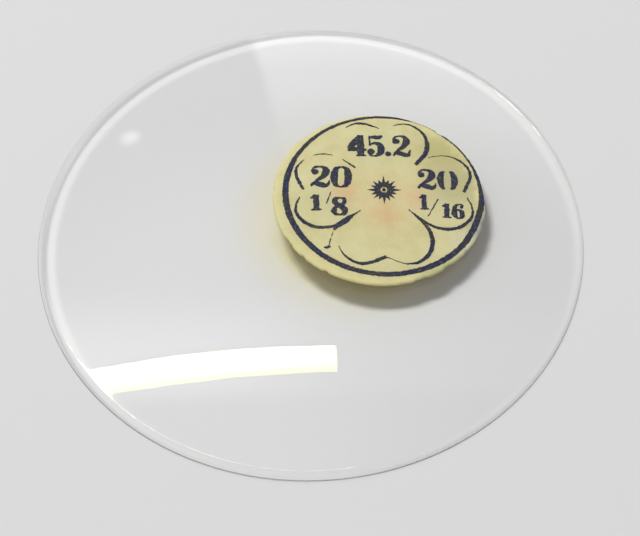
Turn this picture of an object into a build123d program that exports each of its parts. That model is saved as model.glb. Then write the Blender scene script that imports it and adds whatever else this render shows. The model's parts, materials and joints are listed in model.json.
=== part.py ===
"""Watch crystal with its paper size label.

A thin domed glass whose bevelled rim snaps into a bezel, and a round paper label gummed on
its crown, printed with a border ring, a four-leaf clover and a star.

Sizes are in millimetres. The origin is the centre of the ring-shaped face that the rim rests
on, +Z points up out of the dome, and +X runs along the label's printed lines.
"""

import os
from math import cos, pi, sin, sqrt

from build123d import *

# Glass
crystal_diameter = 45.2
dome_rise = 1.8
glass_thickness = 0.8
bevel_width = 0.6
bevel_height = 0.54
edge_land_height = 0.16
under_bevel_width = 0.1
under_bevel_height = 0.1
rest_land_width = 0.5

# Label: its place is a share of the crown's radius, right of and behind the dome's centre
label_place_shares = (0.261, 0.0957)
paper_diameter = 17.4
paper_thickness = 0.15
gum_thickness = 0.03
gum_margin = 0.25
gum_clearance = 0.03

# Print: the paper was punched a little off the centre of the print, so its edge cuts the border,
# and the clover and the star stand a little above the border's own centre
ink_thickness = 0.03
border_margin = 0.32
border_stroke = 0.46
print_shift_right = 0.4
print_shift_up = 0.37
figure_rise = 0.12

# Star: its rays are long and short in turn
star_diameter = 2.8
star_rays = 16
short_ray_share = 0.8
star_core_share = 0.52

# Clover: one quarter, in shares of the border's radius. A thorn between two leaves points at the
# star, and a lobe's stroke leaves it on each side, swells, and ends in a point beside a leaf's notch
clover_leaves = 4
thorn_tip_shares = (0.235, 0.235)
thorn_middle_shares = (0.3175, 0.3175)
thorn_end_shares = (0.4, 0.4)
thorn_width_share = 0.05
lobe_foot_shares = (0.345, 0.345)
lobe_side_shares = (0.415, 0.72)
lobe_notch_shares = (0.015, 0.79)
lobe_width_share = 0.034

# Worked out from the sizes above
crystal_radius = crystal_diameter / 2
crown_radius = crystal_radius - bevel_width
rest_outer_radius = crystal_radius - under_bevel_width
rest_inner_radius = rest_outer_radius - rest_land_width
land_top = under_bevel_height + edge_land_height
crown_edge_height = land_top + bevel_height
crown_apex = crown_edge_height + dome_rise
hollow_apex = crown_apex - glass_thickness
dome_radius = (crown_radius**2 + dome_rise**2) / (2 * dome_rise)

paper_radius = paper_diameter / 2
gum_radius = paper_radius - gum_margin
gum_bottom = dome_radius + gum_clearance
gum_top = gum_bottom + gum_thickness
paper_top = gum_top + paper_thickness
ink_top = paper_top + ink_thickness
border_radius = paper_radius - border_margin

# The label's frame: its origin is the centre of the dome's sphere, and its Z axis runs
# out through the middle of the label
label_right, label_back = (share * crown_radius for share in label_place_shares)
label_height = sqrt(dome_radius**2 - label_right**2 - label_back**2)
label_plane = Plane(
    origin=(0, 0, crown_apex - dome_radius),
    x_dir=(label_height, 0, -label_right),
    z_dir=(label_right, label_back, label_height),
)
label_axis = Axis(label_plane.origin, label_plane.z_dir)
label_section = Plane(origin=label_plane.origin, x_dir=label_plane.x_dir, z_dir=-label_plane.y_dir)
print_plane = label_plane.shift_origin(label_plane.from_local_coords((print_shift_right, print_shift_up)))
figure_plane = print_plane.shift_origin(print_plane.from_local_coords((0, figure_rise)))


def draw_layer_section(lower_radius, upper_radius, disc_radius):
    """Draw the half section of a round layer that follows the dome, beside the label's axis."""
    lower_edge = (disc_radius, sqrt(lower_radius**2 - disc_radius**2))
    upper_edge = (disc_radius, sqrt(upper_radius**2 - disc_radius**2))
    with BuildLine() as outline:
        lower = TangentArc((0, lower_radius), lower_edge, tangent=(1, 0))
        upper = TangentArc((0, upper_radius), upper_edge, tangent=(1, 0))
        Line(lower @ 0, upper @ 0)
        Line(lower @ 1, upper @ 1)
    make_face(outline.edges())


def draw_stroke(start, middle, end, width):
    """Draw a pen stroke that has its width in the middle and a point at each end."""
    chord = Vector(end) - Vector(start)
    half_width = Vector(-chord.Y, chord.X).normalized() * (width / 2)
    with BuildLine() as outline:
        ThreePointArc(start, Vector(middle) + half_width, end)
        ThreePointArc(start, Vector(middle) - half_width, end)
    make_face(outline.edges())


# Crystal: the section is turned about the Z axis
with BuildPart() as crystal:
    with BuildSketch(Plane.XZ):
        with BuildLine():
            crown = TangentArc((0, crown_apex), (crown_radius, crown_edge_height), tangent=(1, 0))
            rim = Polyline(
                crown @ 1,
                (crystal_radius, land_top),
                (crystal_radius, under_bevel_height),
                (rest_outer_radius, 0),
                (rest_inner_radius, 0),
            )
            hollow = TangentArc((0, hollow_apex), rim @ 1, tangent=(1, 0))
            Line(hollow @ 0, crown @ 0)
        make_face()
    revolve(axis=Axis.Z)

# Label gum: the film between the glass and the paper, which stops short of the paper's edge
with BuildPart() as label_gum:
    with BuildSketch(label_section):
        draw_layer_section(gum_bottom, gum_top, gum_radius)
    revolve(axis=label_axis)

# Label paper
with BuildPart() as label_paper:
    with BuildSketch(label_section):
        draw_layer_section(gum_top, paper_top, paper_radius)
    revolve(axis=label_axis)

# Ink film: it covers the whole paper, and each printed piece is cut out of it
with BuildPart() as ink_film:
    with BuildSketch(label_section):
        draw_layer_section(paper_top, ink_top, paper_radius)
    revolve(axis=label_axis)

# Printed border: a ring, trimmed by the paper's edge where it runs past it
with BuildPart() as printed_border:
    add(ink_film.part)
    with BuildSketch(print_plane):
        Circle(border_radius)
        Circle(border_radius - border_stroke, mode=Mode.SUBTRACT)
    extrude(amount=ink_top, mode=Mode.INTERSECT)

# Printed clover: the quarter's second lobe mirrors the first one across the thorn
with BuildSketch() as clover_quarter:
    draw_stroke(thorn_tip_shares, thorn_middle_shares, thorn_end_shares, thorn_width_share)
    draw_stroke(lobe_foot_shares, lobe_side_shares, lobe_notch_shares, lobe_width_share)
    mirror(about=Plane(origin=(0, 0, 0), z_dir=(1, -1, 0)))
    scale(by=border_radius)

with BuildPart() as printed_clover:
    add(ink_film.part)
    with BuildSketch(figure_plane):
        with PolarLocations(0, clover_leaves):
            add(clover_quarter.sketch)
    extrude(amount=ink_top, mode=Mode.INTERSECT)

# Printed star
star_radius = star_diameter / 2
star_points = []
for ray in range(star_rays):
    tip_radius = star_radius if ray % 2 == 0 else star_radius * short_ray_share
    tip_angle = 2 * pi * ray / star_rays
    dip_radius = star_radius * star_core_share
    dip_angle = tip_angle + pi / star_rays
    star_points.append((tip_radius * cos(tip_angle), tip_radius * sin(tip_angle)))
    star_points.append((dip_radius * cos(dip_angle), dip_radius * sin(dip_angle)))

with BuildPart() as printed_star:
    add(ink_film.part)
    with BuildSketch(figure_plane):
        with BuildLine():
            Polyline(*star_points, close=True)
        make_face()
    extrude(amount=ink_top, mode=Mode.INTERSECT)

# Labels and files
subparts = {
    "crystal": crystal,
    "label_gum": label_gum,
    "label_paper": label_paper,
    "printed_border": printed_border,
    "printed_clover": printed_clover,
    "printed_star": printed_star,
}
os.makedirs("parts", exist_ok=True)
for name, builder in subparts.items():
    builder.part.label = name
    export_step(builder.part, f"parts/{name}.step")
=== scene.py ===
import json
import math
import random

import bpy
from mathutils import Matrix, Vector, noise
from mathutils.geometry import delaunay_2d_cdt

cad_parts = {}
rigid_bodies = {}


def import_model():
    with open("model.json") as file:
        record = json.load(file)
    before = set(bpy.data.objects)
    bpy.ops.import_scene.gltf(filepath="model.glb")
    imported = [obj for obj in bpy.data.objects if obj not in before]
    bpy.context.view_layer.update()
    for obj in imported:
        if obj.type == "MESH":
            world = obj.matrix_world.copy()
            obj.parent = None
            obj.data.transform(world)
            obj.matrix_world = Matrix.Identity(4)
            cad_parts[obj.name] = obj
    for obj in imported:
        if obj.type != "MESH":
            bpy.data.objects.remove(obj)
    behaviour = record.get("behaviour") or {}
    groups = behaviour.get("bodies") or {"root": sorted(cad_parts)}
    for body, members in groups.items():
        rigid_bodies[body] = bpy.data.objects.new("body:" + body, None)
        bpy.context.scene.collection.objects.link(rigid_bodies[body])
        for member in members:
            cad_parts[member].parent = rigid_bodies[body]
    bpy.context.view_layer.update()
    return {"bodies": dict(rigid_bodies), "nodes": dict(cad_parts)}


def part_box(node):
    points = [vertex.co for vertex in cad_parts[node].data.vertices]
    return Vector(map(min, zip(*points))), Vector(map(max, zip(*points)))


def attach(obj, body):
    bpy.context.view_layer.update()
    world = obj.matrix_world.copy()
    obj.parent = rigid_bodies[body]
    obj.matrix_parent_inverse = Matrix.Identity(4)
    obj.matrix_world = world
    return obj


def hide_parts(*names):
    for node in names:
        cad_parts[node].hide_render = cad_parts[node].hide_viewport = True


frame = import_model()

# A watch crystal lying on a pale floor: a thin domed glass with a bevelled rim, and the paper
# size label gummed on its crown. Lengths are in metres, and most are written as a number of
# millimetres times MM. A place on the label is given right and up of its middle.
MM = 0.001

# The part is one body, and every piece rides on it
body_name = next(iter(frame["bodies"]))

# Seeds of the print's rough edges and of the star's uneven rays
noise_seed = 5
star_seed = 7
noise.seed_set(noise_seed)

# Crystal
crystal_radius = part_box("crystal")[1].x
crown_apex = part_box("crystal")[1].z
bevel_width = 0.6 * MM
bevel_height = 0.54 * MM
edge_land_height = 0.16 * MM
under_bevel_width = 0.1 * MM
under_bevel_height = 0.1 * MM
rest_land_width = 0.5 * MM
glass_thickness = 0.8 * MM
edge_rounding = 0.06 * MM

# Label: its place is a share of the crown's radius, right of and behind the dome's centre
label_place_shares = (0.261, 0.0957)
paper_radius = 8.7 * MM
paper_thickness = 0.15 * MM
gum_clearance = 0.03 * MM
gum_thickness = 0.03 * MM
ink_thickness = 0.03 * MM

# Print: the border's centre, and the clover and the star a little above it
border_radius = 8.38 * MM
border_stroke = 0.46 * MM
print_shift = (0.4 * MM, 0.37 * MM)
figure_rise = 0.12 * MM
finest_line = 0.01 * MM

# Worked out from the sizes above
land_top = under_bevel_height + edge_land_height
crown_edge_height = land_top + bevel_height
crown_radius = crystal_radius - bevel_width
rest_outer_radius = crystal_radius - under_bevel_width
rest_inner_radius = rest_outer_radius - rest_land_width
dome_rise = crown_apex - crown_edge_height
dome_radius = (crown_radius**2 + dome_rise**2) / (2 * dome_rise)
hollow_rise = crown_apex - glass_thickness
hollow_radius = (rest_inner_radius**2 + hollow_rise**2) / (2 * hollow_rise)
gum_top = gum_clearance + gum_thickness
paper_top = gum_top + paper_thickness
ink_top = paper_top + ink_thickness
ink_bottom = paper_top - ink_thickness / 3
figure_x = print_shift[0]
figure_y = print_shift[1] + figure_rise

# The label's frame at the centre of the dome's sphere
dome_centre = Vector((0, 0, crown_apex - dome_radius))
label_right, label_back = (share * crown_radius for share in label_place_shares)
label_height = math.sqrt(dome_radius**2 - label_right**2 - label_back**2)
label_out = Vector((label_right, label_back, label_height)).normalized()
label_x = Vector((0, 1, 0)).cross(label_out).normalized()
label_y = label_out.cross(label_x)


def on_label(x, y, lift):
    """The point of space at (x, y) on the label, lift above the glass."""
    height = math.sqrt((dome_radius + lift) ** 2 - x * x - y * y)
    return dome_centre + label_x * x + label_y * y + label_out * height


# Shader nodes

def new_material(name):
    """A node material and its empty node tree."""
    material = bpy.data.materials.new(name)
    material.use_nodes = True
    material.node_tree.nodes.clear()
    return material, material.node_tree


def add_node(tree, kind, inputs=None, **settings):
    """Add a node, set its properties, and set or link its inputs."""
    node = tree.nodes.new(kind)
    for key, value in settings.items():
        setattr(node, key, value)
    for key, value in (inputs or {}).items():
        socket = node.inputs[key] if isinstance(key, int) else next(
            socket for socket in node.inputs if socket.name == key and socket.enabled
        )
        if isinstance(value, bpy.types.NodeSocket):
            tree.links.new(value, socket)
        else:
            socket.default_value = value
    return node


def output_in_use(node):
    """The first output that a node's settings leave in use."""
    return next(socket for socket in node.outputs if socket.enabled)


def combine(tree, operation, first, second):
    """An operation on two numbers."""
    return add_node(tree, "ShaderNodeMath", {0: first, 1: second}, operation=operation).outputs[0]


def multiply(tree, first, *others):
    """The product of two or more numbers."""
    for other in others:
        first = combine(tree, "MULTIPLY", first, other)
    return first


def combine_vectors(tree, operation, *vectors):
    """An operation on vectors. Its result is a number where it is a length, a distance or a dot product."""
    inputs = dict(enumerate(vectors))
    return output_in_use(add_node(tree, "ShaderNodeVectorMath", inputs, operation=operation))


def grade(tree, value, start, end, low=0.0, high=1.0, smooth=True):
    """A number that goes from low to high while a value goes from start to end."""
    inputs = {"Value": value, "From Min": start, "From Max": end, "To Min": low, "To Max": high}
    interpolation = "SMOOTHSTEP" if smooth else "LINEAR"
    return add_node(tree, "ShaderNodeMapRange", inputs, interpolation_type=interpolation).outputs[0]


def ramp(tree, factor, stops):
    """A colour that runs through (position, colour) stops with the factor."""
    node = add_node(tree, "ShaderNodeValToRGB", {"Fac": factor})
    elements = node.color_ramp.elements
    while len(elements) < len(stops):
        elements.new(1.0)
    for element, (position, colour) in zip(elements, stops):
        element.position = position
        element.color = colour
    return node.outputs["Color"]


def mix_colour(tree, factor, first, second):
    """The first colour where the factor is 0, and the second where it is 1."""
    inputs = {"Factor": factor, "A": first, "B": second}
    return output_in_use(add_node(tree, "ShaderNodeMix", inputs, data_type="RGBA"))


def mix_shader(tree, factor, first, second):
    """The first shader where the factor is 0, and the second where it is 1."""
    return add_node(tree, "ShaderNodeMixShader", {0: factor, 1: first, 2: second}).outputs[0]


def object_place(tree):
    """The place of a point on the object, which is its place in the part's frame."""
    return add_node(tree, "ShaderNodeTexCoord").outputs["Object"]


def place_noise(tree, scale, detail=4.0, roughness=0.5):
    """Noise fixed to the object, scale in features per metre."""
    return add_node(tree, "ShaderNodeTexNoise", {
        "Vector": object_place(tree), "Scale": scale, "Detail": detail, "Roughness": roughness,
    })


def spot(tree, place, x, y, radius, core=0.0):
    """1 within the core of a place on the label, falling to 0 at the radius, all in millimetres."""
    distance = combine_vectors(tree, "DISTANCE", place, on_label(x * MM, y * MM, paper_top))
    return grade(tree, distance, core * MM, radius * MM, 1.0, 0.0)


def grey(level):
    """A grey colour with alpha."""
    return level, level, level, 1.0


def srgb(red, green, blue):
    """A colour given in 0 to 255 display values, as linear light with alpha."""
    def linear(value):
        value /= 255
        return value / 12.92 if value <= 0.04045 else ((value + 0.055) / 1.055) ** 2.4
    return linear(red), linear(green), linear(blue), 1.0


# Glass: its clear colour, a painted yellow cast of light bounced from the label beside its lower left,
# and a painted olive shade beside the label's lower edge, as spots of (right, up, radius, core) in
# millimetres. The olive shade is where its two spots overlap
clear_tint = (0.99, 0.994, 0.99, 1.0)
painted_bounce_tint = (1.0, 0.97, 0.79, 1.0)
painted_olive_shade_tint = (0.9, 0.86, 0.5, 1.0)
painted_bounce_spot = (-2.2, -1.9, 11.2, 6.4)
painted_olive_shade_spot = (0.0, -0.6, 10.2, 8.9)
painted_olive_shade_side = (-4.5, -7.5, 8.0, 3.0)

# Sides of the crystal: a direction, and the distances along it, in crystal radii, between which
# the look of that side sets in
lamp_side = ((-0.5, 0.866, 0), -1.0, 0.5)
back_side = ((0.42, 0.91, 0), 0.6, 0.95)
left_side = ((-1, 0, 0), 0.78, 0.93)
front_side = ((0, -1, 0), -0.35, 0.2)
lower_right_side = ((0.707, -0.707, 0), 0.73, 0.97)

# The edge wall is ground, so it is rough. Its dark line is painted shade, lighter at the back, and
# broader at the lower right. Reaches are distances from the axis
wall_reach = (crystal_radius - 0.06 * MM, crystal_radius - 0.02 * MM)
painted_wall_shade_tint = grey(0.12)
wall_roughness = 0.4
painted_wall_shade_at_back = 0.35
painted_line_reach = (crystal_radius - 0.32 * MM, crystal_radius - 0.12 * MM)
painted_line_shade = 0.34

# The share of a lamp's light that the glass lets through, and what the bevel, which bends the
# light inwards, makes of it along the rim: (distance, level) from a centre a little away from
# the lamp. The bright ring lies further out at the back, and its dark edge is narrower at the left
clear_share = 0.955
rim_centre_shift = (0, 0.22 * MM, 0)
back_ring_shift = 0.28 * MM
rim_light_reach = (20.9 * MM, 22.9 * MM)
rim_light = [
    (21.1 * MM, 1.0),
    (21.46 * MM, 1.32),
    (21.86 * MM, 1.32),
    (21.98 * MM, 0.68),
    (22.28 * MM, 0.7),
    (22.42 * MM, 1.0),
]
narrow_edge_reach = (22.1 * MM, 22.24 * MM)
bevel_heights = (0.18 * MM, 0.3 * MM)

# A ray that is trapped in the rim is let out after three bounces
trapped_bounces = 3.5
way_out_tint = grey(0.9)


def towards(tree, place, side, low=0.0, high=1.0):
    """A number that goes from low to high towards a side of the crystal."""
    direction, start, end = side
    distance = combine_vectors(tree, "DOT_PRODUCT", place, direction)
    return grade(tree, distance, start * crystal_radius, end * crystal_radius, low, high)


def level_distance(tree, place, shift=(0, 0, 0)):
    """The distance of a place from the crystal's axis, after a shift."""
    level = combine_vectors(tree, "MULTIPLY_ADD", place, (1, 1, 0), shift)
    return combine_vectors(tree, "LENGTH", level)


def glass_finish(tree, place):
    """The glass's colour and roughness: clear, with painted bounce light and painted shade beside the
    label, a painted dark line of shade along the edge, and a rough ground edge.
    """
    # Painted yellow cast of light bounced from the label, beside its lower left
    tint = mix_colour(tree, spot(tree, place, *painted_bounce_spot), clear_tint, painted_bounce_tint)
    # Painted olive shade beside the label's lower edge
    painted_olive_shade = multiply(tree, spot(tree, place, *painted_olive_shade_spot), spot(tree, place, *painted_olive_shade_side))
    tint = mix_colour(tree, painted_olive_shade, tint, painted_olive_shade_tint)
    distance = level_distance(tree, place)
    wall = grade(tree, distance, *wall_reach, smooth=False)
    # Painted shade: the edge wall is darkened, less at the back, and a broader dark line is painted at the
    # lower right
    dark = multiply(tree, wall, towards(tree, place, front_side, painted_wall_shade_at_back, 1.0))
    line = grade(tree, distance, *painted_line_reach, 0.0, painted_line_shade, smooth=False)
    dark = combine(tree, "MAXIMUM", dark, multiply(tree, line, towards(tree, place, lower_right_side)))
    return mix_colour(tree, dark, tint, painted_wall_shade_tint), multiply(tree, wall, wall_roughness)


def light_let_through(tree, place):
    """The colour of a lamp's light behind the glass: even, with a bright and a dark ring from the bevel."""
    distance = level_distance(tree, place, rim_centre_shift)
    ring_shift = towards(tree, place, back_side, 0.0, back_ring_shift)
    start, end = rim_light_reach
    along = grade(tree, combine(tree, "SUBTRACT", distance, ring_shift), start, end, smooth=False)
    stops = [((radius - start) / (end - start), grey(level * clear_share)) for radius, level in rim_light]
    height = add_node(tree, "ShaderNodeSeparateXYZ", {0: place}).outputs["Z"]
    on_bevel = grade(tree, height, *bevel_heights, smooth=False)
    narrowed = multiply(tree, towards(tree, place, left_side), grade(tree, distance, *narrow_edge_reach))
    rings = multiply(
        tree, towards(tree, place, lamp_side), on_bevel, combine(tree, "SUBTRACT", 1.0, narrowed),
    )
    return mix_colour(tree, rings, grey(clear_share), ramp(tree, along, stops))


def glass_material():
    """Clear glass. Lamps shine through it, and its rim bends their light into a bright and a dark ring."""
    material, tree = new_material("polished_glass")
    place = object_place(tree)
    waves = place_noise(tree, scale=90.0, detail=2.0)
    bump = add_node(tree, "ShaderNodeBump", {
        "Height": waves.outputs["Fac"], "Strength": 0.02, "Distance": 0.5 * MM,
    })
    tint, roughness = glass_finish(tree, place)
    glass = add_node(tree, "ShaderNodeBsdfPrincipled", {
        "Base Color": tint, "Roughness": roughness, "IOR": 1.52, "Transmission Weight": 1.0,
        "Normal": bump.outputs["Normal"],
    })
    way_out = add_node(tree, "ShaderNodeBsdfTransparent", {"Color": way_out_tint})
    lamp_way = add_node(tree, "ShaderNodeBsdfTransparent", {"Color": light_let_through(tree, place)})
    path = add_node(tree, "ShaderNodeLightPath")
    trapped = combine(tree, "GREATER_THAN", path.outputs["Ray Depth"], trapped_bounces)
    seen = mix_shader(tree, trapped, glass.outputs[0], way_out.outputs[0])
    surface = mix_shader(tree, path.outputs["Is Shadow Ray"], seen, lamp_way.outputs[0])
    add_node(tree, "ShaderNodeOutputMaterial", {"Surface": surface})
    return material


# Paper: stains of (right, up, radius, strength, colour), greener inside the leaves that hold the
# numbers and darker at the upper right, and rosy spots of (right, up, radius, strength) round
# the star. Lengths are in millimetres
green_paper = srgb(202, 200, 158)
paper_stains = [
    (-4.2, -0.4, 3.4, 0.6, green_paper),
    (0.2, 5.0, 3.0, 0.6, green_paper),
    (4.9, -0.3, 3.4, 0.6, green_paper),
    (5.2, 4.6, 4.2, 0.9, srgb(188, 181, 126)),
    (6.4, 1.4, 3.8, 0.9, srgb(186, 180, 137)),
]
rosy_paper = srgb(218, 177, 134)
rosy_spots = [
    (0.4, -0.9, 5.0, 0.3),
    (-2.7, 0.3, 2.0, 0.68),
    (0.5, -1.9, 2.4, 0.68),
    (3.0, -0.2, 2.0, 0.68),
]

# The worn margin: pale, and faded at a place on the right. Painted shade makes it dull and grey at
# other places on the right, beside the label's shadow. Spots are (right, up, radius, core) in millimetres
worn_width = 0.9 * MM
worn_strength = 0.6
worn_paper = srgb(225, 217, 158)
painted_margin_shade = (5.5, -6.5, 3.9, 1.5)
painted_margin_shade_colour = srgb(165, 170, 126)
faded_margin = (7.3, -5.2, 2.8)
faded_strength = 0.7
faded_paper = srgb(208, 208, 184)
painted_grey_shade = (8.9, -3.2, 2.2, 0.9)
painted_grey_shade_colour = srgb(170, 172, 160)

# Specks in the paper, and how far noise shifts the outlines of its stains
speck_strength = 0.35
speck_colour = srgb(160, 146, 96)
stain_raggedness = 2.4 * MM


def ragged_place(tree, place):
    """The place shifted by noise, so that stains have ragged outlines."""
    blur = place_noise(tree, scale=900.0, roughness=0.6)
    shift = combine_vectors(tree, "SUBTRACT", blur.outputs["Color"], (0.5, 0.5, 0.5))
    return combine_vectors(tree, "MULTIPLY_ADD", shift, (stain_raggedness,) * 3, place)


def paper_colour(tree):
    """Aged yellow paper: mottled, stained, rosy round the star, worn at its edge, with painted shade at its
    right edge, and specked.
    """
    place = object_place(tree)
    ragged = ragged_place(tree, place)
    mottle = place_noise(tree, scale=420.0, detail=6.0, roughness=0.65)
    colour = ramp(tree, mottle.outputs["Fac"], [
        (0.32, srgb(204, 196, 144)), (0.5, srgb(213, 205, 155)), (0.68, srgb(218, 211, 165)),
    ])
    for x, y, radius, strength, stain in paper_stains:
        colour = mix_colour(tree, multiply(tree, spot(tree, ragged, x, y, radius), strength), colour, stain)
    rosy = 0.0
    for x, y, radius, strength in rosy_spots:
        rosy = combine(tree, "MAXIMUM", rosy, multiply(tree, spot(tree, ragged, x, y, radius), strength))
    colour = mix_colour(tree, rosy, colour, rosy_paper)
    from_middle = combine_vectors(tree, "DISTANCE", ragged, on_label(0, 0, paper_top))
    worn = grade(tree, from_middle, paper_radius - worn_width, paper_radius, 0.0, worn_strength)
    colour = mix_colour(tree, worn, colour, worn_paper)
    # Painted shade: the worn margin is darker and duller at the lower right, beside the label's shadow
    colour = mix_colour(tree, multiply(tree, worn, spot(tree, place, *painted_margin_shade)), colour, painted_margin_shade_colour)
    faded = multiply(tree, spot(tree, ragged, *faded_margin), faded_strength)
    colour = mix_colour(tree, faded, colour, faded_paper)
    # Painted shade: the margin is greyer and darker at the right, beside the label's shadow
    colour = mix_colour(tree, spot(tree, place, *painted_grey_shade), colour, painted_grey_shade_colour)
    specks = place_noise(tree, scale=5200.0, detail=2.0)
    specks = ramp(tree, specks.outputs["Fac"], [(0.68, grey(0.0)), (0.76, grey(1.0))])
    return mix_colour(tree, multiply(tree, specks, speck_strength), colour, speck_colour)


def paper_material():
    """Matt paper with fine fibres."""
    material, tree = new_material("label_paper")
    fibres = place_noise(tree, scale=3800.0, detail=5.0, roughness=0.7)
    bump = add_node(tree, "ShaderNodeBump", {
        "Height": fibres.outputs["Fac"], "Strength": 0.5, "Distance": 0.04 * MM,
    })
    paper = add_node(tree, "ShaderNodeBsdfPrincipled", {
        "Base Color": paper_colour(tree), "Roughness": 0.88, "Specular IOR Level": 0.25,
        "Normal": bump.outputs["Normal"],
    })
    add_node(tree, "ShaderNodeOutputMaterial", {"Surface": paper.outputs[0]})
    return material


# Ink and gum
worn_ink_strength = 0.55
worn_ink_colour = srgb(150, 144, 118)


def ink_material():
    """Worn letterpress ink: nearly black, navy where it lies thick, and broken by specks of paper."""
    material, tree = new_material("letterpress_ink")
    thick = place_noise(tree, scale=700.0, detail=3.0)
    colour = ramp(tree, thick.outputs["Fac"], [(0.42, srgb(46, 48, 55)), (0.6, srgb(36, 40, 68))])
    specks = place_noise(tree, scale=7500.0, detail=3.0, roughness=0.6)
    worn = ramp(tree, specks.outputs["Fac"], [(0.56, grey(0.0)), (0.68, grey(1.0))])
    colour = mix_colour(tree, multiply(tree, worn, worn_ink_strength), colour, worn_ink_colour)
    ink = add_node(tree, "ShaderNodeBsdfPrincipled", {
        "Base Color": colour, "Roughness": 0.7, "Specular IOR Level": 0.3,
    })
    add_node(tree, "ShaderNodeOutputMaterial", {"Surface": ink.outputs[0]})
    return material


def gum_material():
    """Dry, streaky, yellow gum."""
    material, tree = new_material("dry_gum")
    streaks = place_noise(tree, scale=500.0, detail=5.0, roughness=0.6)
    colour = ramp(tree, streaks.outputs["Fac"], [(0.35, srgb(198, 162, 66)), (0.65, srgb(222, 196, 98))])
    gum = add_node(tree, "ShaderNodeBsdfPrincipled", {"Base Color": colour, "Roughness": 0.4})
    add_node(tree, "ShaderNodeOutputMaterial", {"Surface": gum.outputs[0]})
    return material


# Meshes

def add_mesh(name, points, faces, material, smooth=True):
    """Make a mesh object that rides on the part's only body."""
    mesh = bpy.data.meshes.new(name)
    mesh.from_pydata([tuple(point) for point in points], [], faces)
    mesh.validate()
    mesh.update()
    if smooth:
        mesh.shade_smooth()
    else:
        mesh.shade_flat()
    mesh.materials.append(material)
    piece = bpy.data.objects.new(name, mesh)
    bpy.context.scene.collection.objects.link(piece)
    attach(piece, body_name)
    return piece


def ring_faces(rings, turns):
    """Faces between rings of points, with a fan to the first point of all and one to the last."""
    last = rings * turns + 1
    inmost = 1 + (rings - 1) * turns
    faces = []
    for turn in range(turns):
        after = (turn + 1) % turns
        faces.append((0, 1 + turn, 1 + after))
        for ring in range(rings - 1):
            upper = 1 + ring * turns
            lower = upper + turns
            faces.append((upper + turn, lower + turn, lower + after, upper + after))
        faces.append((inmost + turn, last, inmost + after))
    return faces


# Crystal

def fillet(before, corner, after, radius, steps=6):
    """Points that round a corner of a profile."""
    entry = corner + (before - corner).normalized() * radius
    leave = corner + (after - corner).normalized() * radius
    points = []
    for step in range(steps + 1):
        share = step / steps
        points.append(entry * (1 - share) ** 2 + corner * (2 * share * (1 - share)) + leave * share**2)
    return points


def arc_point(radius, apex, angle):
    """A point of a half section's arc, whose top is at the height apex on the axis."""
    return Vector((radius * math.sin(angle), apex - radius * (1 - math.cos(angle))))


def crystal_profile(arc_steps=70):
    """Half section of the glass, from the dome's apex out round the rim to the hollow's apex."""
    crown_angle = math.asin(crown_radius / dome_radius)
    hollow_angle = math.asin(rest_inner_radius / hollow_radius)
    shares = [step / arc_steps for step in range(1, arc_steps)]
    crown = [arc_point(dome_radius, crown_apex, crown_angle * share) for share in shares]
    hollow = [arc_point(hollow_radius, hollow_rise, hollow_angle * (1 - share)) for share in shares]
    corners = [
        Vector((crown_radius, crown_edge_height)),
        Vector((crystal_radius, land_top)),
        Vector((crystal_radius, under_bevel_height)),
        Vector((rest_outer_radius, 0)),
        Vector((rest_inner_radius, 0)),
    ]
    chain = [crown[-1]] + corners + [hollow[0]]
    rim = []
    for before, corner, after in zip(chain, chain[1:], chain[2:]):
        rim += fillet(before, corner, after, edge_rounding)
    return crown + rim + hollow


def make_crystal(turns=360):
    """Turn the section about the Z axis, with a point at each apex."""
    profile = crystal_profile()
    points = [Vector((0, 0, crown_apex))]
    for radius, height in profile:
        for turn in range(turns):
            angle = 2 * math.pi * turn / turns
            points.append(Vector((radius * math.cos(angle), radius * math.sin(angle), height)))
    points.append(Vector((0, 0, hollow_rise)))
    crystal = add_mesh("crystal_glass", points, ring_faces(len(profile), turns), glass_material())
    crystal.visible_diffuse = False
    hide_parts("crystal")


# Paper label: punched a little large, cut short at the upper right, proud at the lower right, and
# ragged by waves of (number, depth) and by bites. Sides are angles
oversize = 0.09 * MM
short_side = math.radians(50)
short_depth = 0.14 * MM
proud_side = math.radians(-21)
proud_half_width = math.radians(24)
proud_depth = 0.15 * MM
edge_waves = [
    (4, 0.04 * MM),
    (30, 0.035 * MM),
    (100, 0.03 * MM),
]
bite_waves = 9
bite_place = Vector((3, 0, 0))
bite_start = 0.3
bite_slope = 0.06
bite_depth = 0.1 * MM
side_waves = 90
side_roughness = 0.02 * MM


def near_proud_side(angle):
    """1 at the label's proud side, falling to 0 on each side of it."""
    away = abs(math.remainder(angle - proud_side, 2 * math.pi)) / proud_half_width
    return math.cos(math.pi / 2 * min(1.0, away)) ** 2


def paper_edge(angle):
    """The paper's radius at an angle."""
    around = Vector((math.cos(angle), math.sin(angle), 0))
    radius = paper_radius + oversize
    radius -= short_depth * max(0.0, math.cos(angle - short_side))
    radius += proud_depth * near_proud_side(angle)
    for waves, depth in edge_waves:
        radius += noise.noise(around * waves) * depth
    bite = max(0.0, noise.noise(around * bite_waves + bite_place) - bite_start) / bite_slope
    return radius - min(1.0, bite) * bite_depth


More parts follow.
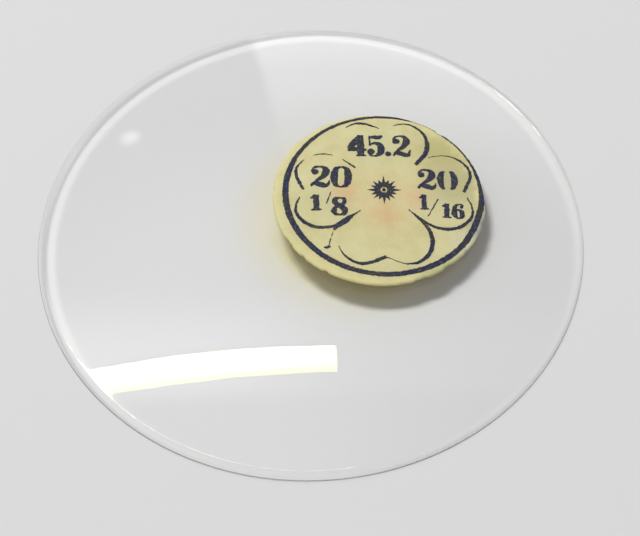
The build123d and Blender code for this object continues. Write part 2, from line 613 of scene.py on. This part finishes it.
def make_paper(turns=720, rings=36, rings_per_underside_ring=5):
    """The paper disc: a top that follows the dome, a rough side and a flat underside."""
    rows = [(ring / rings, paper_top) for ring in range(1, rings + 1)]
    rough_rows = (len(rows), len(rows) + 1)
    rows += [(1.0, paper_top - paper_thickness * share) for share in (0.35, 0.7, 1.0)]
    rows += [(ring / rings, gum_top) for ring in reversed(range(1, rings, rings_per_underside_ring))]
    points = [on_label(0, 0, paper_top)]
    for row, (share, lift) in enumerate(rows):
        for turn in range(turns):
            angle = 2 * math.pi * turn / turns
            radius = paper_edge(angle) * share
            if row in rough_rows:
                around = Vector((math.cos(angle) * side_waves, math.sin(angle) * side_waves, row))
                radius += noise.noise(around) * side_roughness
            points.append(on_label(radius * math.cos(angle), radius * math.sin(angle), lift))
    points.append(on_label(0, 0, gum_top))
    paper = add_mesh("paper_label", points, ring_faces(len(rows), turns), paper_material())
    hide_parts("label_paper")


# Print: strokes are ribbons of triangles, joined into one outline and raised off the paper.
# Thin strokes break up by wear, and rough paper shifts the outline: its waves are (waves per
# millimetre, shift in millimetres)
wear_waves = 4.5
wear_depth = 0.05 * MM
rough_waves = [
    (5, 0.045),
    (14, 0.03),
]


def curve_point(before, start, end, after, share):
    """The point a share of the way from start to end on a smooth curve through four points."""
    return (
        start * 2
        + (end - before) * share
        + (before * 2 - start * 5 + end * 4 - after) * share**2
        + (start * 3 - before - end * 3 + after) * share**3
    ) / 2


def smooth_path(points, spacing):
    """Points about spacing apart on a smooth curve through points, each (x, y, width)."""
    path = [Vector(point) for point in points]
    padded = [path[0] * 2 - path[1]] + path + [path[-1] * 2 - path[-2]]
    result = []
    for before, start, end, after in zip(padded, padded[1:], padded[2:], padded[3:]):
        steps = max(2, math.ceil((end - start).xy.length / spacing))
        result += [curve_point(before, start, end, after, step / steps) for step in range(steps)]
    return result + [path[-1]]


def ribbon(points, spacing=0.045 * MM):
    """Triangles along a stroke through (x, y, width) points."""
    path = smooth_path(points, spacing)
    sides = []
    for index, point in enumerate(path):
        ahead = path[min(index + 1, len(path) - 1)] - path[max(index - 1, 0)]
        wear = noise.noise(Vector((point.x, point.y, 0)) / MM * wear_waves) * wear_depth
        across = Vector((-ahead.y, ahead.x)).normalized() * max(point.z + wear, finest_line) / 2
        sides.append((point.xy + across, point.xy - across))
    triangles = []
    for (left, right), (next_left, next_right) in zip(sides, sides[1:]):
        triangles += [[right, next_right, next_left], [right, next_left, left]]
    return triangles


def polar(radius, angle):
    """The flat point at a distance and an angle from the middle."""
    return Vector((radius * math.cos(angle), radius * math.sin(angle)))


def disc(x, y, radius, corners=28):
    """A round dot, as one shape."""
    angles = [k * (2 * math.pi / corners) for k in range(corners)]
    return [[Vector((x + radius * math.cos(angle), y + radius * math.sin(angle))) for angle in angles]]


def roughen(point):
    """Shift a point of the print, in millimetres, as rough paper shifts the edge of its ink."""
    point = point.to_3d()
    shifted = point.copy()
    for waves, depth in rough_waves:
        shifted += noise.noise_vector(point * waves) * depth
    return shifted.xy


def covers(shape, x, y):
    """True if a convex shape, whose corners run anticlockwise, holds a point."""
    for start, end in zip(shape, shape[1:] + shape[:1]):
        if (end.x - start.x) * (y - start.y) < (end.y - start.y) * (x - start.x):
            return False
    return True


def join_shapes(shapes, cell=0.3, nearest=0.004):
    """Points and triangles of the area under overlapping convex shapes, in millimetres."""
    corners = []
    edges = []
    grid = {}
    for shape in shapes:
        shape = [corner / MM for corner in shape]
        area = sum(a.x * b.y - b.x * a.y for a, b in zip(shape, shape[1:] + shape[:1]))
        if area < 0:
            shape.reverse()
        first = len(corners)
        corners += shape
        edges += [(first + k, first + (k + 1) % len(shape)) for k in range(len(shape))]
        columns = [math.floor(corner.x / cell) for corner in shape]
        rows = [math.floor(corner.y / cell) for corner in shape]
        for column in range(min(columns), max(columns) + 1):
            for row in range(min(rows), max(rows) + 1):
                grid.setdefault((column, row), []).append(shape)
    points, _, triangles, _, _, _ = delaunay_2d_cdt(corners, edges, [], 0, nearest)
    inked = []
    for triangle in triangles:
        x, y = sum((points[index] for index in triangle), Vector((0, 0))) / 3
        near = grid.get((math.floor(x / cell), math.floor(y / cell)), [])
        if any(covers(shape, x, y) for shape in near):
            inked.append(triangle)
    return points, inked


def press_ink(name, shapes, nodes, material, cut=None):
    """Join flat shapes into one outline, roughen it and raise it off the paper as a thin solid."""
    flat_points, triangles = join_shapes(shapes)
    flat_points = [roughen(point) * MM for point in flat_points]
    if cut:
        flat_points = [Vector(cut(*point)) for point in flat_points]
    sides = {(a, b) for triangle in triangles for a, b in zip(triangle, triangle[1:] + triangle[:1])}
    edges = [(a, b) for a, b in sides if (b, a) not in sides]
    place = {}
    points = []
    for index in sorted({index for triangle in triangles for index in triangle}):
        x, y = flat_points[index]
        place[index] = len(points)
        points.append(on_label(x, y, ink_top))
        points.append(on_label(x, y, ink_bottom))
    faces = []
    for a, b, c in triangles:
        faces.append((place[a], place[b], place[c]))
        faces.append((place[c] + 1, place[b] + 1, place[a] + 1))
    for a, b in edges:
        faces.append((place[b], place[a], place[a] + 1, place[b] + 1))
    print_piece = add_mesh(name, points, faces, material, smooth=False)
    if nodes:
        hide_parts(*nodes)


def on_figure(stroke):
    """A stroke in millimetres about the middle of the clover, moved to its place on the label."""
    return [(figure_x + x * MM, figure_y + y * MM, width * MM) for x, y, width in stroke]


# Printed border: the ring's width in millimetres at angles in degrees. It is worn away at the
# upper right, and lies a little further in at the paper's proud side
ring_widths = [
    (-15, 0.52), (10, 0.5), (25, 0.38), (36, 0.34), (47, 0.34), (54, 0.2), (60, 0.05), (68, 0.02),
    (76, 0.14), (90, 0.24), (120, 0.27), (145, 0.36), (170, 0.5), (200, 0.52), (230, 0.46),
    (270, 0.42), (305, 0.46), (345, 0.52),
]
first_ring_angle = ring_widths[0][0]
ring_waves = 30
ring_roughness = 0.02 * MM
ring_inset = 0.1 * MM
paper_edge_gap = 0.01 * MM


def ring_width(angle):
    """The ring's width at an angle in degrees, within those listed."""
    for (start, start_width), (end, end_width) in zip(ring_widths, ring_widths[1:]):
        if angle <= end:
            share = (angle - start) / (end - start)
            share = share * share * (3 - 2 * share)
            return (start_width + (end_width - start_width) * share) * MM
    return ring_widths[-1][1] * MM


def keep_on_paper(x, y):
    """Draw a point back to the paper's edge where the print runs past it."""
    radius = math.hypot(x, y)
    limit = paper_edge(math.atan2(y, x)) - paper_edge_gap
    if radius <= limit:
        return x, y
    return x * limit / radius, y * limit / radius


def make_border(ink, turns=1000):
    """The ring near the label's edge."""
    middle = border_radius - border_stroke / 2
    centre = Vector(print_shift)
    sides = []
    for turn in range(turns):
        degrees = 360 * turn / turns + first_ring_angle
        angle = math.radians(degrees)
        direction = polar(1.0, angle)
        half = ring_width(degrees) / 2 + noise.noise((direction * ring_waves).to_3d()) * ring_roughness
        half = max(half, finest_line)
        inward = direction * (ring_inset * near_proud_side(angle))
        sides.append([centre + direction * radius - inward for radius in (middle - half, middle + half)])
    shapes = []
    for (inner, outer), (next_inner, next_outer) in zip(sides, sides[1:] + sides[:1]):
        shapes.append([inner, outer, next_outer, next_inner])
    press_ink("border_ink", shapes, ["printed_border"], ink, cut=keep_on_paper)


# Printed clover: one side of a leaf that points along +Y, from the thorn's tip to the leaf's
# notch, in shares of the border's radius
lobe_path = [Vector(point) for point in (
    (0.235, 0.235), (0.315, 0.32), (0.4, 0.425), (0.44, 0.5), (0.455, 0.6), (0.44, 0.7),
    (0.385, 0.79), (0.285, 0.86), (0.18, 0.865), (0.084, 0.83), (0.0, 0.79),
)]

# Its strokes: leaf (quarter turns from the right one), side, the span of the path that is
# printed, counted in its points, and the width in millimetres at its start, middle and end
clover_strokes = [
    (0, 1, 2.5, 5.5, 0.03, 0.05, 0.13),
    (0, 1, 5.5, 10.0, 0.13, 0.26, 0.24),
    (0, -1, 0.0, 9.2, 0.05, 0.3, 0.08),
    (1, -1, 1.1, 5.0, 0.3, 0.4, 0.28),
    (1, -1, 5.0, 8.6, 0.28, 0.16, 0.03),
    (1, 1, 6.2, 9.7, 0.05, 0.21, 0.05),
    (2, 1, 1.5, 9.0, 0.1, 0.3, 0.1),
    (2, -1, 6.0, 9.9, 0.05, 0.28, 0.2),
    (2, -1, 3.0, 5.0, 0.03, 0.08, 0.03),
    (2, -1, 0.5, 1.8, 0.16, 0.14, 0.04),
    (3, 1, 0.0, 7.8, 0.05, 0.38, 0.12),
    (3, 1, 7.8, 10.0, 0.1, 0.06, 0.1),
    (3, -1, 4.7, 10.0, 0.05, 0.26, 0.28),
]

# The thick thorn at the lower left: right, up and width in millimetres
clover_thorn = [
    (-1.96, -2.15, 0.04), (-2.5, -2.52, 0.2), (-2.95, -2.9, 0.46), (-3.37, -3.26, 0.5),
    (-3.8, -3.56, 0.46), (-4.06, -3.84, 0.34), (-4.12, -4.1, 0.1),
]

# The stalk below it, broken in two, and its foot
clover_stalk = [
    [(-4.24, -4.15, 0.03), (-4.3, -4.5, 0.1), (-4.36, -4.75, 0.04)],
    [(-4.4, -4.85, 0.04), (-4.5, -5.25, 0.09), (-4.6, -5.6, 0.05)],
    [(-4.98, -5.78, 0.1), (-4.72, -5.74, 0.26), (-4.42, -5.66, 0.08)],
]


def along_lobe(position):
    """The point on the lobe's smooth path at a position counted in its points."""
    index = min(int(position), len(lobe_path) - 2)
    start, end = lobe_path[index], lobe_path[index + 1]
    before = lobe_path[index - 1] if index else start * 2 - end
    after = lobe_path[index + 2] if index + 2 < len(lobe_path) else end * 2 - start
    return curve_point(before, start, end, after, position - index)


def clover_stroke(leaf, side, start, end, start_width, middle_width, end_width, samples=9):
    """One stroke of the clover, as a ribbon."""
    points = []
    turn = math.radians(90 * (leaf - 1))
    for sample in range(samples):
        share = sample / (samples - 1)
        lateral, outward = along_lobe(start + (end - start) * share) * border_radius
        lateral *= -side
        width = start_width * (1 - share) + end_width * share
        width += (middle_width - (start_width + end_width) / 2) * math.sin(math.pi * share)
        x = lateral * math.cos(turn) - outward * math.sin(turn)
        y = lateral * math.sin(turn) + outward * math.cos(turn)
        points.append((figure_x + x, figure_y + y, width * MM))
    return ribbon(points)


def make_clover(ink):
    """The four-leaf clover's outline, with its stalk."""
    shapes = []
    for stroke in clover_strokes:
        shapes += clover_stroke(*stroke)
    for stroke in [clover_thorn] + clover_stalk:
        shapes += ribbon(on_figure(stroke))
    press_ink("clover_ink", shapes, ["printed_clover"], ink)


# Printed star: the lengths of its rays in turn, how uneven they are, and the radii of its core
# and of the plain ring in it, in shares of its radius
star_radius = 1.5 * MM
star_rays = 16
ray_shares = (1.0, 0.78, 0.9, 0.78)
ray_unevenness = (0.92, 1.06)
core_share = 0.5
core_overlap = 1.04
star_ring_shares = (0.12, 0.19)
star_ring_corners = 48


def make_star(ink):
    """A star of uneven rays round a plain ring."""
    chance = random.Random(star_seed)
    core = star_radius * core_share
    dot_radius, ring_radius = (star_radius * share for share in star_ring_shares)
    half_ray = math.pi / star_rays
    shapes = []
    for ray in range(star_rays):
        angle = 2 * math.pi * ray / star_rays
        reach = star_radius * ray_shares[ray % len(ray_shares)] * chance.uniform(*ray_unevenness)
        shapes.append([polar(core, angle - half_ray), polar(reach, angle), polar(core, angle + half_ray)])
    for corner in range(star_ring_corners):
        way, next_way = (polar(1.0, 2 * math.pi * k / star_ring_corners) for k in (corner, corner + 1))
        outer, next_outer = (direction * core * core_overlap for direction in (way, next_way))
        shapes.append([way * ring_radius, outer, next_outer, next_way * ring_radius])
    shapes += disc(0, 0, dot_radius)
    centre = Vector((figure_x, figure_y))
    shapes = [[centre + corner for corner in shape] for shape in shapes]
    press_ink("star_ink", shapes, ["printed_star"], ink)


# Numerals of a heavy old face, one unit high: the width that each takes on its line, ribbons of
# (x, y, width), and dots of (x, y, radius). "O" is a nought that printed open at its top and foot
numerals = {
    "0": (0.8, [
        [(0.40, 0.985, 0.03), (0.2, 0.86, 0.17), (0.14, 0.5, 0.27), (0.2, 0.14, 0.17), (0.40, 0.015, 0.03)],
        [(0.40, 0.985, 0.03), (0.6, 0.86, 0.17), (0.66, 0.5, 0.27), (0.6, 0.14, 0.17), (0.40, 0.015, 0.03)],
    ], []),
    "O": (0.86, [
        [(0.3, 0.93, 0.05), (0.2, 0.82, 0.17), (0.15, 0.5, 0.24), (0.2, 0.16, 0.16), (0.3, 0.05, 0.05)],
        [(0.52, 0.93, 0.05), (0.63, 0.82, 0.17), (0.69, 0.5, 0.24), (0.63, 0.16, 0.16), (0.52, 0.05, 0.05)],
    ], []),
    "1": (0.56, [
        [(0.28, 0.98, 0.24), (0.28, 0.5, 0.25), (0.28, 0.02, 0.24)],
        [(0.02, 0.79, 0.05), (0.12, 0.83, 0.1), (0.27, 0.95, 0.14)],
        [(0.04, 0.03, 0.05), (0.28, 0.04, 0.09), (0.52, 0.03, 0.05)],
    ], []),
    "2": (0.74, [
        [(0.04, 0.74, 0.05), (0.12, 0.92, 0.07), (0.33, 0.975, 0.06), (0.52, 0.9, 0.17), (0.57, 0.72, 0.27),
         (0.47, 0.52, 0.2), (0.28, 0.34, 0.11), (0.1, 0.17, 0.06), (0.04, 0.04, 0.05)],
        [(0.03, 0.03, 0.04), (0.12, 0.17, 0.12), (0.28, 0.16, 0.2), (0.46, 0.1, 0.2), (0.6, 0.09, 0.15),
         (0.68, 0.2, 0.07), (0.7, 0.33, 0.03)],
    ], [(0.16, 0.72, 0.13)]),
    "4": (0.78, [
        [(0.5, 0.97, 0.1), (0.27, 0.62, 0.27), (0.06, 0.35, 0.12)],
        [(0.02, 0.3, 0.08), (0.3, 0.33, 0.18), (0.76, 0.3, 0.07)],
        [(0.54, 0.99, 0.2), (0.54, 0.5, 0.27), (0.54, 0.02, 0.25)],
        [(0.34, 0.03, 0.05), (0.54, 0.04, 0.08), (0.75, 0.03, 0.05)],
    ], []),
    "5": (0.72, [
        [(0.12, 0.9, 0.06), (0.3, 0.9, 0.16), (0.5, 0.9, 0.17), (0.64, 0.97, 0.05)],
        [(0.13, 0.96, 0.06), (0.12, 0.72, 0.05), (0.12, 0.5, 0.05)],
        [(0.11, 0.5, 0.04), (0.22, 0.6, 0.07), (0.38, 0.61, 0.12), (0.54, 0.5, 0.24), (0.57, 0.32, 0.27),
         (0.5, 0.13, 0.2), (0.32, 0.02, 0.06), (0.14, 0.05, 0.05), (0.04, 0.18, 0.05)],
    ], [(0.16, 0.22, 0.13)]),
    "6": (0.72, [
        [(0.62, 0.82, 0.05), (0.55, 0.95, 0.06), (0.4, 0.985, 0.05), (0.22, 0.86, 0.18), (0.14, 0.55, 0.26),
         (0.16, 0.25, 0.24), (0.25, 0.07, 0.15), (0.38, 0.015, 0.05)],
        [(0.2, 0.5, 0.04), (0.36, 0.6, 0.07), (0.53, 0.5, 0.2), (0.58, 0.3, 0.25), (0.52, 0.1, 0.17),
         (0.38, 0.015, 0.05)],
    ], [(0.54, 0.8, 0.1)]),
    "8": (0.76, [
        [(0.38, 0.985, 0.05), (0.2, 0.91, 0.17), (0.16, 0.76, 0.24), (0.26, 0.6, 0.24), (0.48, 0.47, 0.26),
         (0.61, 0.3, 0.28), (0.57, 0.1, 0.19), (0.38, 0.015, 0.05)],
        [(0.38, 0.985, 0.05), (0.56, 0.92, 0.14), (0.59, 0.78, 0.18), (0.5, 0.61, 0.12), (0.36, 0.53, 0.08),
         (0.18, 0.42, 0.14), (0.13, 0.24, 0.22), (0.2, 0.08, 0.17), (0.38, 0.015, 0.05)],
    ], []),
    ".": (0.3, [], [(0.12, 0.12, 0.11)]),
}

# Lines of numbers about the middle of the clover: text, the middle of its base line and its
# height in millimetres, how wide its numerals are set, and the slope of its line in degrees
number_lines = [
    ("45.2", -0.28, 3.58, 2.36, 0.9, 0.0),
    ("20", -4.38, 0.25, 2.24, 1.0, -1.5),
    ("1", -5.58, -2.08, 1.6, 1.14, 1.5),
    ("8", -3.7, -2.6, 1.8, 1.02, -1.5),
    ("2O", 4.55, 0.16, 2.1, 1.04, -0.5),
    ("1", 3.3, -1.9, 1.5, 1.0, 1.0),
    ("16", 5.64, -2.7, 1.46, 1.02, -2.0),
]
fraction_bars = [
    ((-4.38, -0.2, 0.07), (-4.75, -1.4, 0.09)),
    ((4.45, -0.85, 0.09), (3.55, -2.6, 0.07)),
]
ink_spread = 0.05 * MM


def number_shapes(text, middle, base, height, breadth, slope):
    """The strokes of a line of numbers, on the label."""
    total = sum(numerals[character][0] for character in text)
    turn = math.radians(slope)
    size = height * MM

    def place(x, y):
        along = (x - total / 2) * size * breadth
        up = y * size
        return (
            figure_x + middle * MM + along * math.cos(turn) - up * math.sin(turn),
            figure_y + base * MM + along * math.sin(turn) + up * math.cos(turn),
        )

    shapes = []
    start = 0.0
    for character in text:
        advance, strokes, dots = numerals[character]
        for stroke in strokes:
            shapes += ribbon([
                (*place(start + x, y), width * size * breadth + ink_spread) for x, y, width in stroke
            ])
        for x, y, radius in dots:
            shapes += disc(*place(start + x, y), radius * size)
        start += advance
    return shapes


def make_numbers(ink):
    """The size numbers in three leaves of the clover."""
    shapes = []
    for line in number_lines:
        shapes += number_shapes(*line)
    for bar in fraction_bars:
        shapes += ribbon(on_figure(bar))
    press_ink("number_ink", shapes, [], ink)


# Floor: it fades into the even backdrop between two distances from the part
floor_half_width = 3.0
floor_drop = 0.01 * MM
floor_fade = (0.08, 0.4)
backdrop_light = 0.73


def by_way_of_glass(tree, path):
    """1 for rays that glass has mirrored or let through."""
    return combine(tree, "MAXIMUM", path.outputs["Is Glossy Ray"], path.outputs["Is Transmission Ray"])


def floor_material():
    """Pale matt paint, which takes the part's shadow."""
    material, tree = new_material("floor")
    paint = add_node(tree, "ShaderNodeBsdfPrincipled", {
        "Base Color": srgb(222, 222, 222), "Roughness": 0.9, "Specular IOR Level": 0.1,
    })
    pale = add_node(tree, "ShaderNodeEmission", {"Color": grey(1.0), "Strength": backdrop_light})
    place = add_node(tree, "ShaderNodeNewGeometry").outputs["Position"]
    far = grade(tree, combine_vectors(tree, "LENGTH", place), *floor_fade)
    path = add_node(tree, "ShaderNodeLightPath")
    seen = combine(tree, "MAXIMUM", path.outputs["Is Camera Ray"], by_way_of_glass(tree, path))
    surface = mix_shader(tree, multiply(tree, far, seen), paint.outputs[0], pale.outputs[0])
    add_node(tree, "ShaderNodeOutputMaterial", {"Surface": surface})
    return material


def make_floor():
    """A large square floor just under the part."""
    signs = [(-1, -1), (1, -1), (1, 1), (-1, 1)]
    corners = [(x * floor_half_width, y * floor_half_width, -floor_drop) for x, y in signs]
    mesh = bpy.data.meshes.new("floor")
    mesh.from_pydata(corners, [], [(0, 1, 2, 3)])
    mesh.materials.append(floor_material())
    floor = bpy.data.objects.new("floor", mesh)
    bpy.context.scene.collection.objects.link(floor)


# Camera: fitted to the rim's ellipse and the label's outline. Angles are in radians
photo_width = 640
camera_focal_pixels = 1511.8
camera_distance = 125.93 * MM
camera_elevation = 0.987
camera_azimuth = 0.02
camera_roll = -0.0286
camera_right = 0.8113 * MM
camera_up = -2.7574 * MM
sensor_width = 36.0


def facing(right, up, back, place):
    """The matrix of a camera or a lamp from its three axes and its place."""
    matrix = Matrix((right, up, back)).transposed().to_4x4()
    matrix.translation = place
    return matrix


def make_camera():
    """The camera, on the photograph's line of sight."""
    level = math.cos(camera_elevation)
    back = Vector((
        math.sin(camera_azimuth) * level, -math.cos(camera_azimuth) * level, math.sin(camera_elevation),
    ))
    right = Vector((math.cos(camera_azimuth), math.sin(camera_azimuth), 0))
    up = back.cross(right)
    rolled_right = right * math.cos(camera_roll) + up * math.sin(camera_roll)
    rolled_up = up * math.cos(camera_roll) - right * math.sin(camera_roll)
    place = back * camera_distance + rolled_right * camera_right + rolled_up * camera_up
    data = bpy.data.cameras.new("camera")
    data.sensor_fit = "HORIZONTAL"
    data.sensor_width = sensor_width
    data.lens = camera_focal_pixels / photo_width * sensor_width
    data.clip_start = 0.001
    data.clip_end = 20.0
    camera = bpy.data.objects.new("camera", data)
    camera.matrix_world = facing(rolled_right, rolled_up, back, place)
    bpy.context.scene.collection.objects.link(camera)
    bpy.context.scene.camera = camera


# Room: its even light falls from the walls and, weaker, from the roof
wall_light = 0.5
roof_light = 0.165
room_colour = (0.98, 0.99, 1.0, 1.0)
bright_spot_direction = (-0.296, 0.717, 0.63)


def mirrored_room(tree):
    """What the glass mirrors: a ceiling, a window with a slanted side, a low glow and a bright spot.

    Limits are coordinates of the direction that a ray comes from, and levels are strengths.
    """
    way = add_node(tree, "ShaderNodeTexCoord").outputs["Generated"]
    across, back, height = add_node(tree, "ShaderNodeSeparateXYZ", {0: way}).outputs
    ceiling = grade(tree, height, 0.62, 0.86, 0.72, 1.24)
    ceiling = grade(tree, across, -0.15, 0.4, ceiling, 0.5)
    slanted = combine(tree, "SUBTRACT", across, multiply(tree, height, 0.2))
    pane = multiply(tree, grade(tree, slanted, -0.213, -0.193), grade(tree, across, 0.15, 0.6, 1.0, 0.3))
    upper_pane = grade(tree, height, 0.58, 0.76, 0.8, 0.0)
    lower_pane = grade(tree, height, 0.5, 0.58, 0.6, 0.0)
    panes = combine(tree, "ADD", lower_pane, upper_pane)
    behind = multiply(tree, grade(tree, back, 0.3, 0.5), grade(tree, height, 0.1, 0.3))
    window = multiply(tree, pane, panes, behind)
    glow = multiply(
        tree,
        grade(tree, back, 0.24, 0.29),
        grade(tree, back, 0.34, 0.48, 1.0, 0.0),
        grade(tree, across, -0.25, 0.1, 1.0, 0.25),
    )
    away = combine_vectors(tree, "DISTANCE", way, bright_spot_direction)
    bright_spot = grade(tree, away, 0.003, 0.024, 1.7, 0.0)
    pattern = combine(
        tree, "ADD", combine(tree, "ADD", ceiling, window), combine(tree, "ADD", glow, bright_spot),
    )
    return height, grade(tree, height, 0.35, 0.56, backdrop_light, pattern)


def make_room():
    """The room round the object: even light for all, and for the glass its bright and dark places."""
    world = bpy.data.worlds.new("room")
    bpy.context.scene.world = world
    world.use_nodes = True
    tree = world.node_tree
    tree.nodes.clear()
    height, mirrored = mirrored_room(tree)
    even = grade(tree, height, 0.0, 1.0, wall_light, roof_light)
    plain = add_node(tree, "ShaderNodeBackground", {"Color": room_colour, "Strength": even})
    pale = add_node(tree, "ShaderNodeBackground", {"Color": grey(1.0), "Strength": backdrop_light})
    shown = add_node(tree, "ShaderNodeBackground", {"Color": grey(1.0), "Strength": mirrored})
    path = add_node(tree, "ShaderNodeLightPath")
    surface = mix_shader(tree, path.outputs["Is Camera Ray"], plain.outputs[0], pale.outputs[0])
    surface = mix_shader(tree, by_way_of_glass(tree, path), surface, shown.outputs[0])
    add_node(tree, "ShaderNodeOutputWorld", {"Surface": surface})


# Lamps: their long sides lie nearly along the X axis
lamp_long_axis = Vector((1, 0.02, 0))


def add_lamp(name, direction, distance, size, radiance, mirrored=True, colour=(1, 1, 1)):
    """A rectangular lamp that faces the object from a direction."""
    back = Vector(direction).normalized()
    along = (lamp_long_axis - back * lamp_long_axis.dot(back)).normalized()
    across = back.cross(along)
    data = bpy.data.lights.new(name, "AREA")
    data.shape = "RECTANGLE"
    data.size, data.size_y = size
    data.color = colour
    data.energy = radiance * size[0] * size[1] * math.pi
    lamp = bpy.data.objects.new(name, data)
    lamp.matrix_world = facing(along, across, back, back * distance)
    lamp.visible_glossy = mirrored
    lamp.visible_transmission = mirrored
    bpy.context.scene.collection.objects.link(lamp)
    return lamp


def make_lamps():
    """A strip lamp with a yellow shade, which the glass mirrors, and a soft key lamp, which it doesn't."""
    add_lamp(
        "strip", direction=(-0.336, 0.296, 0.8927), distance=1.0, size=(0.775, 0.036), radiance=14.0,
        colour=(1.0, 0.99, 0.95),
    )
    shade = add_lamp(
        "strip_shade", direction=(-0.336, 0.29, 0.894), distance=1.01, size=(0.79, 0.051), radiance=8.5,
        colour=(1.0, 0.98, 0.2),
    )
    shade.visible_diffuse = False
    add_lamp(
        "key", direction=(-0.26, 0.335, 0.9), distance=1.0, size=(0.26, 0.16), radiance=51.9,
        mirrored=False,
    )


def finish_gum():
    """Give the CAD model's gum its material."""
    gum = frame["nodes"]["label_gum"]
    gum.data.materials.clear()
    gum.data.materials.append(gum_material())


make_camera()
make_floor()
make_room()
make_lamps()
make_crystal()
make_paper()
ink = ink_material()
make_border(ink)
make_clover(ink)
make_star(ink)
make_numbers(ink)
finish_gum()

view = bpy.context.scene.view_settings
view.view_transform = "Standard"
